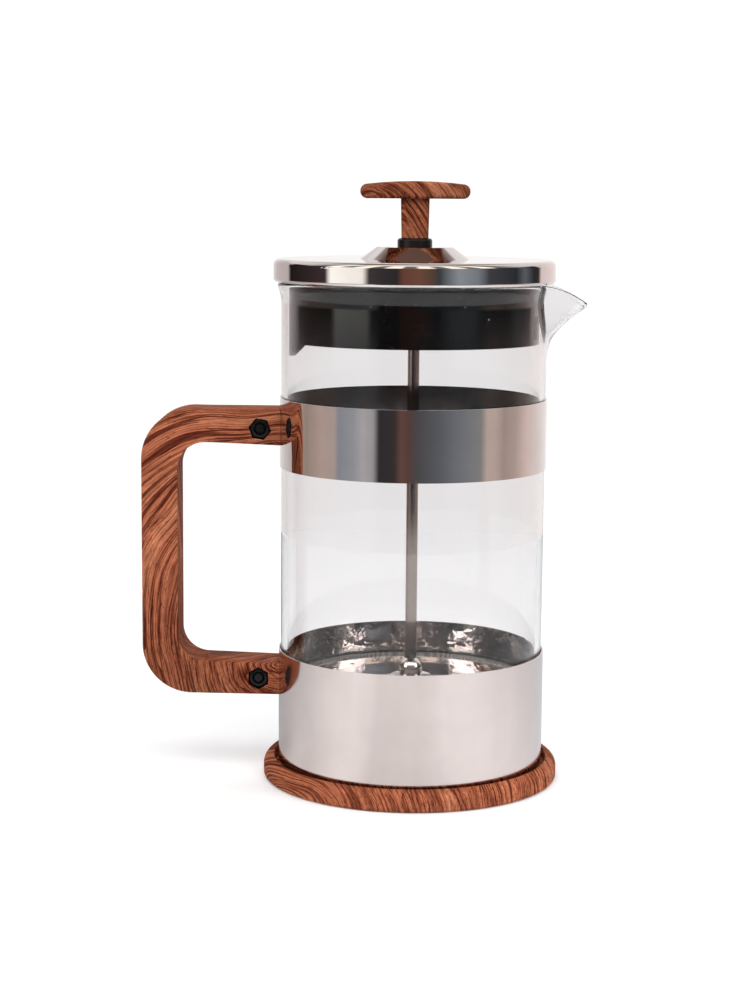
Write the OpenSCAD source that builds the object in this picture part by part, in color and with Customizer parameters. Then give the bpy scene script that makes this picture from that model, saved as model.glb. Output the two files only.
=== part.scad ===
// French press: glass beaker in a steel cup and band, printed base, handle and
// knob, and a plunger with a layered filter. Millimetres, +Z up, spout towards
// +X, handle towards -X. The origin is the centre of the pad under the base.

/* [Beaker] */
// Outside diameter of the glass beaker
beaker_d = 100.2; // [94:0.2:106]
// Height of the beaker's rim above the table
rim_z = 189.8; // [180:0.2:220]
// Thickness of the glass wall
glass_t = 2.2; // [1.8:0.1:2.6]
// Distance of the spout's tip from the beaker's axis
spout_reach = 65; // [62:0.5:70]

/* [Base] */
// Diameter of the base plate
base_d = 113.2; // [112:0.2:126]
// Height of the base plate's rim above the table
base_rim_z = 8.1; // [7:0.1:10]

/* [Steel cup and band] */
// Height of the cup's edge above the table
cup_z = 50; // [46:0.5:60]
// Height of the band's lower edge above the table
band_z = 120.3; // [118:0.1:121]
// Height of the band from edge to edge
band_h = 26.3; // [24:0.1:30]
// Thickness of the steel sheet
sheet_t = 0.5; // [0.4:0.05:0.6]

/* [Handle] */
// Distance of the handle's outer face from the beaker's axis
handle_reach = 102.5; // [98:0.2:115]
// Width of the handle from side to side
handle_w = 20; // [18:0.5:26]
// Thickness of the upright grip
grip_t = 13.6; // [12:0.2:16]
// Radius of the handle's outer corners
handle_corner_r = 19; // [14:0.5:24]

/* [Lid] */
// Diameter of the steel lid
lid_d = 106.2; // [106:0.2:112]
// Height of the lid's flat top above the beaker's rim
lid_h = 8.9; // [7:0.1:12]
// Height of the raised cone in the middle of the lid
cone_h = 4.5; // [3:0.1:8]
// Length of the lid's plastic skirt below the rim
skirt_h = 22; // [16:0.5:28]

/* [Plunger] */
// Diameter of the plunger rod
rod_d = 4.45; // [4:0.05:5]
// Height of the filter's flat ring above the table, fully pressed
filter_z = 36; // [34:0.5:42]
// Width of the knob's cross bar
knob_w = 41.2; // [34:0.2:50]
// Depth of the knob's cross bar from front to back
knob_depth = 15; // [12:0.5:20]
// Number of holes around the filter's top plate
plate_holes = 24; // [12:1:30]

/* [Hidden] */
$fn = 96;

// Colours
wood_print = "sienna";
polished = "gainsboro";
satin = "silver";
black_plastic = "dimgray";
clear_glass = "lightblue";
brass = "goldenrod";

// Allowances: a cut's overrun, the gap of a fixed fit and of a running fit
over = 1;
fixed_gap = 0.05;
run_gap = 0.05;
glass_gap = 0.4;

// Base plate, pad and screws
beaker_r = beaker_d / 2;
base_r = base_d / 2;
pad_r = 47;
pad_t = 1.4;
pad_proud = 0.2;
base_top_round_r = 3.6;
base_low_round_r = 1.2;
recess_round_r = 0.5;
recess_z = 4.6;
cup_gap = 0.3;
cup_r = beaker_r + cup_gap + sheet_t;
recess_r = cup_r + 1.5;
screw_circle_r = 25;
screw_count = 3;
screw_r = 1.45;
screw_head_r = 2.8;
screw_head_h = 1.6;
screw_tip_z = 1.9;
screw_round_r = 0.9;
screw_socket_r = 0.8;
screw_socket_h = 0.9;

// Beaker
glass_z = recess_z + sheet_t;
glass_in_r = beaker_r - glass_t;
heel_r = 6;
punt_r = 38;
punt_h = 2.2;
floor_t = 2.6;
lip_out = 1.4;
lip_h = 12;
lip_r = glass_t / 2;

// Spout: its lower face leaves the wall in a soft bend and then runs out straight
spout_bend = 3.5;
spout_bend_drop = 20.5;
spout_bend_z = rim_z - spout_bend_drop;
spout_low_z = rim_z - 29;
spout_half_angle = 23;
spout_sharpness = 1.5;
spout_drop = 7;
spout_dip_power = 1.8;
spout_dip_steps = 8;
spout_start_x = beaker_r - 2.6;
spout_tip_rise = spout_bend_drop - spout_drop;
spout_slope = 2 * (spout_reach + 0.2 - beaker_r)
    / (spout_tip_rise + sqrt(pow(spout_tip_rise, 2) + pow(spout_bend, 2)));
spout_rings = 16;
spout_steps = 20;

// Band and its ears, cup bracket
band_r = beaker_r + fixed_gap + sheet_t;
ear_gap = 0.3;
ear_reach = 63.5;
ear_h = 10;
bracket_t = 1.8;
bracket_h = 8.4;
bracket_half_angle = 5;
weld_gap = 0.02;

// Handle: arm heights, inner corner and the two bolt places
arm_top_z = 142.1;
arm_low_z = 33.1;
arm_low_dip = 0.7;
gap_top_z = 129.7;
gap_top_dip = 1.4;
gap_low_z = 45.4;
gap_low_dip = 0.9;
gap_corner_r = 10.5;
grip_in_x = -(handle_reach - grip_t);
upper_bolt = [-57.6, 134.9];
lower_bolt = [-58.2, 39];
bolt_places = [upper_bolt, lower_bolt];
nut_turns = [10, 30];
bolt_r = 2;
bolt_hole_r = 2.15;
nut_corner_r = 4.04;
nut_t = 3.2;
hex_pocket_r = 4.35;
pocket_depth = 3.8;
bolt_head_r = 3.5;
bolt_head_h = 2.4;
head_pocket_r = 3.9;
head_pocket_depth = bolt_head_h + 0.8;
fastener_inset = 0.55;
slot_end_x = -65.5;

// Lid
lid_r = lid_d / 2;
lid_top_z = rim_z + lid_h;
lid_sheet_t = 0.6;
lid_low_z = rim_z + 0.1;
hem_r = lid_r - 1.9;
hem_round_r = 1.3;
cone_foot_r = 20.6;
cone_top_r = 14.4;
cone_z = lid_top_z + cone_h;
inner_lid_t = 2;
flange_r = lid_r - lid_sheet_t - 0.3;
flange_step_z = lid_low_z + lid_sheet_t + 0.1;
skirt_r = glass_in_r - 0.7;
skirt_t = 2;
skirt_z = rim_z - skirt_h;
tab_drop = 5.8;
tab_round_r = 45;
slot_count = 6;
slot_pitch_angle = 8.4;
slot_w = 5.2;
slot_low_z = skirt_z + 2;
slot_h = 13;
boss_r = 7.5;

// Collar that guides the rod
collar_r = 6.56;
collar_h = 3.25;
collar_tube_r = 4.6;
collar_tube_z = rim_z - 4.4;
collar_nut_r = 7.5;
collar_nut_h = 3.4;

// Knob
rod_r = rod_d / 2;
knob_z = cone_z + collar_h + 0.15;
stem_h = 14.6;
stem_top_w = 10.8;
stem_low_w = 10.1;
stem_depth = 9.4;
bar_t = 5.4;
bar_crown = 1.05;
bar_half_flat = knob_w / 2 - bar_t / 2;
bar_arch_r = (pow(bar_half_flat, 2) + pow(bar_crown, 2)) / (2 * bar_crown);
bar_plan_r = 5;
insert_r = 3;
insert_h = 9.8;

// Filter stack: dome height, ring radii and sheet thicknesses
dome_h = 2.9;
dome_flat_r = 8;
dome_foot_r = 33.5;
ring_in_r = 35;
plate_t = 0.7;
plate_hole_r = 1.2;
plate_hole_circle = 39;
mesh_t = 0.35;
mesh_r = glass_in_r - glass_gap;
mesh_rim_h = 2.3;
coil_r = 0.65;
spring_r = mesh_r - mesh_t - coil_r - fixed_gap;
plate_r = spring_r - coil_r - fixed_gap;
cross_t = 0.8;
cross_r = 37;
cross_arms = 8;
mesh_z = filter_z - plate_t - fixed_gap;
cross_z = mesh_z - mesh_t - fixed_gap;
hub_r = 4.45;
hub_z = filter_z + dome_h + fixed_gap;
hub_h = 7.3;
cross_nut_r = 5.5;
cross_nut_h = 5;
cross_nut_z = cross_z - cross_t + dome_h - fixed_gap - cross_nut_h;
rod_end_z = cross_nut_z - 0.6;
rod_top_z = knob_z + insert_h - 0.4;

// Cuts a quarter round of radius r off the corner at (x, y) of a flat outline;
// in_x and in_y point from the corner into the outline.
module corner_cut(x, y, r, in_x, in_y) {
    translate([x, y])
        mirror([in_x < 0 ? 1 : 0, 0])
            mirror([0, in_y < 0 ? 1 : 0])
                difference() {
                    translate([-over, -over]) square(r + over);
                    translate([r, r]) circle(r);
                }
}

// Stands a flat outline drawn in x and z upright, w thick about the XZ plane.
module upright(w) {
    rotate([90, 0, 0]) linear_extrude(w, center = true) children();
}

// A drilling along Y at the height and reach of one bolt, from y0 to y1.
module along_y(place, r, y0, y1, sides = 96, turn = 0) {
    translate([place.x, y0, place.y])
        rotate([-90, 0, 0]) rotate(turn) cylinder(r = r, h = y1 - y0, $fn = sides);
}

// Non-slip pad let into the underside of the base plate
module base_pad() {
    color("black") cylinder(r = pad_r, h = pad_t);
}

// Base plate: round-edged disc with a raised rim around the cup
module base_plate() {
    color(wood_print) difference() {
        rotate_extrude() difference() {
            translate([0, pad_proud]) square([base_r, base_rim_z - pad_proud]);
            translate([-over, recess_z]) square([recess_r + over, base_rim_z]);
            translate([-over, -over]) square([pad_r + 0.2 + over, pad_t + over]);
            corner_cut(base_r, base_rim_z, base_top_round_r, -1, -1);
            corner_cut(base_r, pad_proud, base_low_round_r, -1, 1);
            corner_cut(recess_r, base_rim_z, recess_round_r, 1, -1);
        }
        base_screw_ring() cylinder(r = screw_r + fixed_gap, h = recess_z + over);
    }
}

// Places its children at each of the base's screws
module base_screw_ring() {
    for (i = [0 : screw_count - 1])
        rotate(60 + i * 360 / screw_count) translate([screw_circle_r, 0, 0]) children();
}

// Pan-head screws that hold the cup down on the base plate
module base_screws() {
    color(polished) base_screw_ring() rotate_extrude() difference() {
        union() {
            translate([0, screw_tip_z]) square([screw_r, glass_z - screw_tip_z + 0.2]);
            translate([0, glass_z]) square([screw_head_r, screw_head_h]);
        }
        corner_cut(screw_head_r, glass_z + screw_head_h, screw_round_r, -1, -1);
        translate([-over, glass_z + screw_head_h - screw_socket_h])
            square([screw_socket_r + over, screw_socket_h + over]);
    }
}

// Deep-drawn steel cup around the foot of the beaker
module base_cup() {
    color(satin) difference() {
        rotate_extrude() difference() {
            translate([0, recess_z]) square([cup_r, cup_z - recess_z]);
            corner_cut(cup_r, recess_z, 2.5, -1, 1);
            difference() {
                translate([-over, glass_z]) square([cup_r - sheet_t + over, cup_z]);
                corner_cut(cup_r - sheet_t, glass_z, 2, -1, 1);
            }
        }
        base_screw_ring() cylinder(r = screw_r + 0.25, h = glass_z + over);
    }
}

// Bracket welded to the cup: a curved foot with a tab that enters the lower arm
module cup_bracket() {
    foot_t = 0.9;
    low_z = lower_bolt.y - bracket_h / 2;
    color(satin) difference() {
        union() {
            translate([0, 0, low_z])
                rotate(180 - bracket_half_angle)
                    rotate_extrude(angle = 2 * bracket_half_angle)
                        translate([cup_r + weld_gap, 0]) square([foot_t, bracket_h]);
            translate([-ear_reach, -bracket_t / 2, low_z])
                cube([ear_reach - cup_r - foot_t / 2, bracket_t, bracket_h]);
        }
        along_y(lower_bolt, bolt_hole_r, -bracket_t, bracket_t);
    }
}

// Polished band, split at the back, its ends folded out into two ears
module band() {
    ear_z = upper_bolt.y - ear_h / 2;
    color(polished) difference() {
        union() {
            translate([0, 0, band_z]) rotate_extrude()
                translate([band_r - sheet_t, 0]) square([sheet_t, band_h]);
            translate([-ear_reach, -ear_gap / 2 - sheet_t, ear_z])
                cube([ear_reach - band_r + sheet_t / 2, 2 * sheet_t + ear_gap, ear_h]);
        }
        translate([-ear_reach - over, -ear_gap / 2, band_z - over])
            cube([ear_reach - glass_in_r + over, ear_gap, band_h + 2 * over]);
        along_y(upper_bolt, bolt_hole_r, -2, 2);
    }
}

// How far the spout stands out from the wall at height z, in its middle
function spout_out(z) =
    let (above = z - spout_bend_z)
    spout_slope * (above + sqrt(above * above + spout_bend * spout_bend)) / 2;

// Half the spout's opening angle at height z: narrow below, full at the rim
function spout_angle(z) =
    spout_half_angle * (0.35 + 0.65 * sin(90 * (z - spout_low_z) / (rim_z - spout_low_z)));

// One ring of the spout: its curved front, then two points inside the wall
function spout_ring(z, wall_r, lift) = concat(
    [for (i = [0 : spout_steps])
        let (t = 2 * i / spout_steps - 1, angle = t * spout_angle(z),
             r = wall_r - 0.2 + spout_out(z - lift) * pow(cos(90 * t), spout_sharpness))
        [r * cos(angle), r * sin(angle), z]],
    [for (side = [1, -1])
        let (angle = side * spout_angle(z) * 0.9)
        [(wall_r - 1) * cos(angle), (wall_r - 1) * sin(angle), z]]
);

// Solid nose of the spout for a wall of radius wall_r, from low_z up past the rim
module spout_nose(wall_r, lift, low_z, top_z) {
    count = spout_steps + 3;
    rings = [for (i = [0 : spout_rings])
        spout_ring(low_z + (top_z - low_z) * i / spout_rings, wall_r, lift)];
    sides = [for (k = [0 : spout_rings - 1], i = [0 : count - 1])
        let (j = (i + 1) % count)
        each [[k * count + i, (k + 1) * count + i, k * count + j],
              [k * count + j, (k + 1) * count + i, (k + 1) * count + j]]];
    bottom = [for (i = [0 : count - 1]) i];
    top = [for (i = [count - 1 : -1 : 0]) spout_rings * count + i];
    polyhedron([for (ring = rings) each ring], concat(sides, [bottom, top]));
}

// Outline of the beaker's wall from the axis out, up to height top
module beaker_outline(wall_r, foot_z, corner_r, top) {
    difference() {
        union() {
            translate([0, foot_z]) square([wall_r, top - foot_z]);
            polygon([
                [0, rim_z - lip_h], [wall_r, rim_z - lip_h],
                [wall_r + lip_out * 0.45, rim_z - lip_h / 2.4],
                [wall_r + lip_out, rim_z - lip_r], [wall_r + lip_out, top], [0, top]
            ]);
        }
        corner_cut(wall_r, foot_z, corner_r, -1, 1);
    }
}

// Side view of what is cut off the spout: the rim dips in a curve towards the tip
module spout_dip() {
    run = spout_reach - spout_start_x;
    polygon(concat(
        [for (i = [0 : spout_dip_steps])
            let (t = i / spout_dip_steps)
            [spout_start_x + run * t, rim_z - spout_drop * pow(t, spout_dip_power)]],
        [[spout_reach + 20, rim_z - 20], [spout_reach + 20, rim_z + 20], [spout_start_x, rim_z + 20]]
    ));
}

// Glass beaker with a rounded heel, a raised floor, a flared lip and a drawn spout
module beaker() {
    floor_z = glass_z + floor_t;
    color(clear_glass, 0.4) difference() {
        union() {
            rotate_extrude() difference() {
                beaker_outline(beaker_r, glass_z, heel_r, rim_z);
                corner_cut(beaker_r + lip_out, rim_z, lip_r, -1, -1);
            }
            spout_nose(beaker_r, 0, spout_low_z, rim_z + 1);
        }
        rotate_extrude() beaker_outline(glass_in_r, floor_z, heel_r - glass_t, rim_z + over);
        spout_nose(glass_in_r, 0.45 * glass_t, spout_low_z + 2, rim_z + 2);
        translate([0, 0, glass_z - over])
            cylinder(r1 = punt_r + over, r2 = punt_r - punt_h, h = punt_h + over);
        upright(80) spout_dip();
        translate([0, 0, rim_z]) cylinder(r = 2 * beaker_r, h = 20);
    }
    // The floor rises over the punt, so that the glass keeps its thickness there
    color(clear_glass, 0.4) translate([0, 0, floor_z - 0.2])
        cylinder(r1 = punt_r, r2 = punt_r - punt_h, h = punt_h + 0.2);
}

// Side view of the handle: two arms and an upright grip
module handle_outline() {
    end_x = -(beaker_r - 2);
    difference() {
        translate([-handle_reach, arm_low_z - arm_low_dip])
            square([handle_reach + end_x, arm_top_z - arm_low_z + arm_low_dip]);
        corner_cut(-handle_reach, arm_top_z, handle_corner_r, 1, -1);
        corner_cut(-handle_reach, arm_low_z, handle_corner_r, 1, 1);
        // The lower arm deepens slightly towards the cup
        polygon([
            [-handle_reach - over, arm_low_z - 2], [-handle_reach - over, arm_low_z],
            [-handle_reach + handle_corner_r, arm_low_z], [end_x, arm_low_z - arm_low_dip],
            [end_x, arm_low_z - 2]
        ]);
        difference() {
            polygon([
                [grip_in_x, gap_low_z], [grip_in_x, gap_top_z],
                [grip_in_x + gap_corner_r, gap_top_z], [end_x + over, gap_top_z - gap_top_dip],
                [end_x + over, gap_low_z - gap_low_dip], [grip_in_x + gap_corner_r, gap_low_z]
            ]);
            corner_cut(grip_in_x, gap_top_z, gap_corner_r, 1, -1);
            corner_cut(grip_in_x, gap_low_z, gap_corner_r, 1, 1);
        }
    }
}

// C-shaped handle, bolted to the band above and to the cup's bracket below
module handle() {
    half_w = handle_w / 2;
    mid_z = (arm_low_z + arm_top_z) / 2;
    slot_reach = -slot_end_x - beaker_r + 4;
    color(wood_print) difference() {
        upright(handle_w) handle_outline();
        translate([0, 0, mid_z]) cylinder(r = band_r + 0.1, h = arm_top_z);
        cylinder(r = cup_r + 0.1, h = mid_z);
        // Slots for the band's ears and for the bracket's tab
        translate([slot_end_x, -0.8, upper_bolt.y - ear_h / 2 - 0.5])
            cube([slot_reach, 1.6, ear_h + 1]);
        translate([slot_end_x, -bracket_t / 2 - 0.15, lower_bolt.y - bracket_h / 2 - 0.3])
            cube([slot_reach, bracket_t + 0.3, bracket_h + 0.6]);
        // Hollow for the bracket's curved foot
        translate([0, 0, lower_bolt.y - bracket_h / 2 - 0.3])
            rotate(180 - bracket_half_angle - 1)
                rotate_extrude(angle = 2 * bracket_half_angle + 2)
                    translate([cup_r - 2, 0]) square([3.1, bracket_h + 0.6]);
        for (i = [0, 1]) {
            along_y(bolt_places[i], bolt_hole_r, -half_w - over, half_w + over);
            along_y(bolt_places[i], hex_pocket_r, -half_w - over, -half_w + pocket_depth, 6, nut_turns[i]);
            along_y(bolt_places[i], head_pocket_r, half_w - head_pocket_depth, half_w + over);
        }
    }
}

// Button-head bolts through the handle's two arms
module handle_bolts() {
    head_y = handle_w / 2 - bolt_head_h - 0.75;
    color("black") for (place = bolt_places)
        translate([place.x, 0, place.y]) rotate([-90, 0, 0]) difference() {
            union() {
                translate([0, 0, -handle_w / 2 + 0.4])
                    cylinder(r = bolt_r, h = handle_w / 2 - 0.4 + head_y + 0.1);
                translate([0, 0, head_y]) rotate_extrude() difference() {
                    square([bolt_head_r, bolt_head_h]);
                    corner_cut(bolt_head_r, bolt_head_h, 1.6, -1, -1);
                }
            }
            translate([0, 0, head_y + 0.9]) cylinder(r = 1.45, h = bolt_head_h, $fn = 6);
        }
}

// Hexagon nuts sunk in the handle's pockets
module handle_nuts() {
    front_y = -handle_w / 2 + fastener_inset;
    color("black") for (i = [0, 1])
        difference() {
            along_y(bolt_places[i], nut_corner_r, front_y, front_y + nut_t, 6, nut_turns[i]);
            along_y(bolt_places[i], bolt_r + 0.02, -handle_w / 2, 0);
        }
}

// Black collar in the middle of the lid, which guides the rod
module lid_collar() {
    color(black_plastic) rotate_extrude() difference() {
        union() {
            translate([0, cone_z + 0.05]) square([collar_r, collar_h]);
            translate([0, collar_tube_z]) square([collar_tube_r, cone_z - collar_tube_z + over]);
        }
        translate([-over, collar_tube_z - over])
            square([rod_r + run_gap + over, cone_z - collar_tube_z + collar_h + 2 * over]);
        corner_cut(collar_r, cone_z + 0.05 + collar_h, 1.1, -1, -1);
        corner_cut(rod_r + run_gap, cone_z + 0.05 + collar_h, 0.8, 1, -1);
    }
}

// Nut that clamps the lid's two layers against the collar
module collar_nut() {
    color(black_plastic) translate([0, 0, rim_z - 0.05 - collar_nut_h]) difference() {
        cylinder(r = collar_nut_r, h = collar_nut_h, $fn = 6);
        translate([0, 0, -over]) cylinder(r = collar_tube_r + 0.02, h = collar_nut_h + 2 * over);
    }
}

// Half section of the lid's steel skin, shrunk by inset from its outer face
module lid_outline(inset) {
    edge_r = lid_r - inset;
    low_z = lid_low_z + inset;
    top_z = lid_top_z - inset;
    difference() {
        union() {
            translate([0, low_z]) square([edge_r, top_z - low_z]);
            polygon([
                [0, top_z - over], [cone_foot_r - inset / 2, top_z - over],
                [cone_foot_r - inset / 2, top_z], [cone_top_r - inset / 2, cone_z - inset],
                [0, cone_z - inset]
            ]);
        }
        corner_cut(edge_r, top_z, 2.4 - inset, -1, -1);
        corner_cut(edge_r, low_z, hem_round_r - inset, -1, 1);
    }
}

// Polished steel lid: flat cap with a raised cone in the middle and a hem turned
// in under the plastic flange
module lid_shell() {
    color(polished) rotate_extrude() difference() {
        lid_outline(0);
        lid_outline(lid_sheet_t);
        translate([-over, lid_low_z - over]) square([hem_r + over, 2 * over]);
        translate([-over, cone_z - 2]) square([collar_tube_r + run_gap + over, 4]);
    }
}

// Plastic inner lid: rim flange, skirt with a strainer for the spout and a tongue
// that shuts the spout off when the lid is turned
module inner_lid() {
    boss_top_z = cone_z - lid_sheet_t - 0.1;
    color(black_plastic) difference() {
        union() {
            rotate_extrude() difference() {
                union() {
                    translate([0, rim_z]) square([flange_r, inner_lid_t]);
                    translate([flange_r - skirt_t, rim_z]) square([skirt_t, lid_h - lid_sheet_t - 0.1]);
                    translate([skirt_r - skirt_t, skirt_z]) square([skirt_t, skirt_h + over]);
                    translate([0, rim_z]) square([boss_r, boss_top_z - rim_z]);
                }
                translate([-over, rim_z - over])
                    square([collar_tube_r + run_gap + over, boss_top_z - rim_z + 2 * over]);
                corner_cut(flange_r, lid_top_z - lid_sheet_t - 0.1, 2, -1, -1);
                // The flange is stepped up over the lid's hem
                translate([hem_r - 0.2, rim_z - over])
                    square([lid_r, flange_step_z - rim_z + over]);
            }
            intersection() {
                translate([0, 0, skirt_z - tab_drop]) rotate_extrude()
                    translate([skirt_r - skirt_t, 0]) square([skirt_t, tab_drop + over]);
                translate([-beaker_r, 0, skirt_z - tab_drop + tab_round_r])
                    rotate([0, 90, 0]) cylinder(r = tab_round_r, h = beaker_r - 30);
            }
        }
        // Strainer slots towards the spout, shorter at the sides to follow an arch
        for (i = [0 : slot_count - 1]) {
            step = i - (slot_count - 1) / 2;
            rotate(step * slot_pitch_angle)
                translate([skirt_r - skirt_t - over, -slot_w / 2, slot_low_z])
                    cube([skirt_t + 2 * over, slot_w, slot_h - pow(abs(step), 2) * 0.7]);
        }
    }
}

// Knob: arched cross bar on a slightly tapered square stem
module knob() {
    bar_z = knob_z + stem_h;
    color(wood_print) difference() {
        union() {
            intersection() {
                upright(knob_depth) {
                    intersection() {
                        translate([-bar_half_flat, bar_z]) square([2 * bar_half_flat, bar_t + bar_crown]);
                        translate([0, bar_z + bar_t + bar_crown - bar_arch_r]) circle(bar_arch_r);
                    }
                    for (side = [-1, 1])
                        translate([side * bar_half_flat, bar_z + bar_t / 2]) circle(bar_t / 2);
                }
                knob_plan();
            }
            upright(stem_depth) polygon([
                [-stem_low_w / 2, knob_z], [stem_low_w / 2, knob_z],
                [stem_top_w / 2, bar_z + over], [-stem_top_w / 2, bar_z + over]
            ]);
        }
        translate([0, 0, knob_z - over]) cylinder(r = insert_r + fixed_gap, h = insert_h + over + 0.2);
    }
}

// Plan of the cross bar: a rectangle with rounded corners, taller than the knob
module knob_plan() {
    translate([0, 0, knob_z]) linear_extrude(stem_h + 2 * bar_t) difference() {
        square([knob_w + over, knob_depth], center = true);
        for (side = [-1, 1], face = [-1, 1])
            corner_cut(side * knob_w / 2, face * knob_depth / 2, bar_plan_r, -side, -face);
    }
}

// Threaded brass insert moulded into the knob's stem
module knob_insert() {
    color(brass) translate([0, 0, knob_z]) difference() {
        cylinder(r = insert_r, h = insert_h);
        translate([0, 0, -over]) cylinder(r = rod_r + 0.02, h = insert_h + over - 0.3);
    }
}

// Plunger rod, screwed into the knob above and into the cross plate's nut below
module plunger_rod() {
    color(polished) translate([0, 0, rod_end_z]) cylinder(r = rod_r, h = rod_top_z - rod_end_z);
}

// Domed hub that presses the filter stack together
module rod_hub() {
    color(polished) difference() {
        union() {
            translate([0, 0, hub_z]) cylinder(r = hub_r, h = hub_h - hub_r);
            translate([0, 0, hub_z + hub_h - hub_r]) sphere(hub_r);
        }
        translate([0, 0, hub_z - hub_r]) cylinder(r = hub_r + over, h = hub_r);
        translate([0, 0, hub_z - over]) cylinder(r = rod_r + 0.02, h = hub_h + 2 * over);
    }
}

// Half section of a dished disc: a flat middle, a sloping dome, a flat ring and a
// rim turned up by rim_h
module dished(top_z, t, outer_r, rim_h = 0) {
    hole_r = rod_r + 0.1;
    foot_run = ring_in_r - dome_foot_r;
    foot_rise = 0.5;
    foot_r = min(dome_foot_r, outer_r - foot_run);
    polygon([
        [hole_r, top_z + dome_h], [dome_flat_r, top_z + dome_h],
        [foot_r, top_z + foot_rise], [foot_r + foot_run, top_z],
        [outer_r - t, top_z], [outer_r - t, top_z + rim_h],
        [outer_r, top_z + rim_h], [outer_r, top_z - t],
        [foot_r + foot_run, top_z - t], [foot_r, top_z + foot_rise - t],
        [dome_flat_r, top_z + dome_h - t], [hole_r, top_z + dome_h - t]
    ]);
}

// Top plate of the filter, with a ring of small holes
module spiral_plate() {
    color(polished) difference() {
        rotate_extrude() dished(filter_z, plate_t, plate_r);
        for (i = [0 : plate_holes - 1])
            rotate((i + 0.5) * 360 / plate_holes)
                translate([plate_hole_circle, 0, filter_z - 2]) cylinder(r = plate_hole_r, h = 4);
    }
}

// Coil spring around the plate's edge, as the plain ring that its turns fill
module edge_spring() {
    color(satin) translate([0, 0, filter_z + coil_r - plate_t])
        rotate_extrude() translate([spring_r, 0]) circle(coil_r);
}

// Fine mesh under the plate, its rim turned up against the glass
module filter_mesh() {
    color("lightgray") rotate_extrude() dished(mesh_z, mesh_t, mesh_r, mesh_rim_h);
}

// Bottom plate of the filter, opened by large and small round holes
module cross_plate() {
    color(polished) difference() {
        rotate_extrude() dished(cross_z, cross_t, cross_r);
        for (i = [0 : cross_arms - 1]) rotate(i * 360 / cross_arms) {
            translate([25.5, 0, cross_z - 3]) cylinder(r = 6.6, h = 8);
            translate([13, 0, cross_z - 3]) cylinder(r = 2.6, h = 8);
        }
    }
}

// Nut on the rod's lower end, under the cross plate
module cross_nut() {
    color(polished) translate([0, 0, cross_nut_z]) difference() {
        cylinder(r = cross_nut_r, h = cross_nut_h, $fn = 6);
        translate([0, 0, -over]) cylinder(r = rod_r + 0.02, h = cross_nut_h + 2 * over);
    }
}

base_pad();
base_plate();
base_screws();
base_cup();
cup_bracket();
band();
beaker();
handle();
handle_bolts();
handle_nuts();
lid_collar();
collar_nut();
lid_shell();
inner_lid();
knob();
knob_insert();
plunger_rod();
rod_hub();
spiral_plate();
edge_spring();
filter_mesh();
cross_plate();
cross_nut();
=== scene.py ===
import math

import bmesh
import bpy
from mathutils import Matrix, Vector


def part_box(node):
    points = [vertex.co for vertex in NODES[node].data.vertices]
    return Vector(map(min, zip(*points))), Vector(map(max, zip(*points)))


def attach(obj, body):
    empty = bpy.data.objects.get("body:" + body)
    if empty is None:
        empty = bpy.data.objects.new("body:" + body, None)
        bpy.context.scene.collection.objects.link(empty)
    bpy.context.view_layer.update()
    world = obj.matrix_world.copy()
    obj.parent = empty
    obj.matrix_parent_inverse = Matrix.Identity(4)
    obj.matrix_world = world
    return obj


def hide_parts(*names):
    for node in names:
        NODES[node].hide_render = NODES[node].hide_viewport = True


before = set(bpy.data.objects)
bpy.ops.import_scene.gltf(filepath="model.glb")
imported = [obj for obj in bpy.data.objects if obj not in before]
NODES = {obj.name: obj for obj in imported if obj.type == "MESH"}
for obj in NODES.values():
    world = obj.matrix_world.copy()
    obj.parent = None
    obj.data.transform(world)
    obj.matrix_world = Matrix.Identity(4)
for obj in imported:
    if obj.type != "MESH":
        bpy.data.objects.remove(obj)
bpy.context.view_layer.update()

MM = 0.001

# ---------------------------------------------------------------------------
# Sizes in millimetres: the CAD part's own, and those of the finer pieces built here
# ---------------------------------------------------------------------------
BEAKER_R = 50.1
GLASS_T = 2.2
GLASS_FOOT_Z = 5.1
HEEL_R = 6.0
INNER_HEEL_R = 3.8
GLASS_FLOOR_T = 2.6
PUNT = ((0.0, 2.2), (35.8, 2.2), (37.0, 1.4), (38.4, 0.2), (39.4, 0.0))   # raised underside
INNER_PUNT = ((38.0, 0.0), (36.4, 1.2), (35.0, 2.0), (0.0, 2.2))         # and floor: r, height
RIM_Z = 189.8
SPOUT_REACH = 65.0
SPOUT_BEND_Z = RIM_Z - 20.5
SPOUT_BEND = 3.5
SPOUT_LOW_Z = RIM_Z - 29.0
SPOUT_HALF_ANGLE = 23.0
SPOUT_SHARPNESS = 1.5
SPOUT_DROP = 7.0
SPOUT_DIP_POWER = 1.8
SPOUT_START_X = BEAKER_R - 2.6
SPOUT_THINNING = 1.7
LIP_OUT = 1.4
LIP_R = 1.1
LIP_START_Z = RIM_Z - 7.3

HANDLE_REACH = 102.5
HANDLE_END_X = -44.0                   # inside the glass, cut away by the band and the cup
HANDLE_W = 20.0
GRIP_IN_X = -88.9
ARM_TOP_Z = 142.1
ARM_LOW_Z = 33.1
ARM_LOW_DIP = 0.7
GAP_TOP_Z = 129.7
GAP_TOP_DIP = 1.4
GAP_LOW_Z = 45.4
GAP_LOW_DIP = 0.9
OUTER_CORNER_R = 19.0
INNER_CORNER_R = 10.5
HANDLE_EDGE_R = 1.7
BAND_CUT_R = 50.75
CUP_CUT_R = 51.0
UPPER_BOLT = (-57.6, 134.9, -10.0)     # x, z and the turn of the nut in degrees
LOWER_BOLT = (-58.2, 39.0, 30.0)
POCKET_CORNER_R = 4.35
POCKET_DEPTH = 3.8
HEAD_POCKET_R = 3.9
HEAD_POCKET_DEPTH = 3.2
SLOT_END_X = -65.5
EAR_SLOT = (1.6, 11.0)                 # width and height, around the ears of the band
BRACKET_SLOT = (2.1, 9.0)              # and around the cup's bracket

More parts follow.
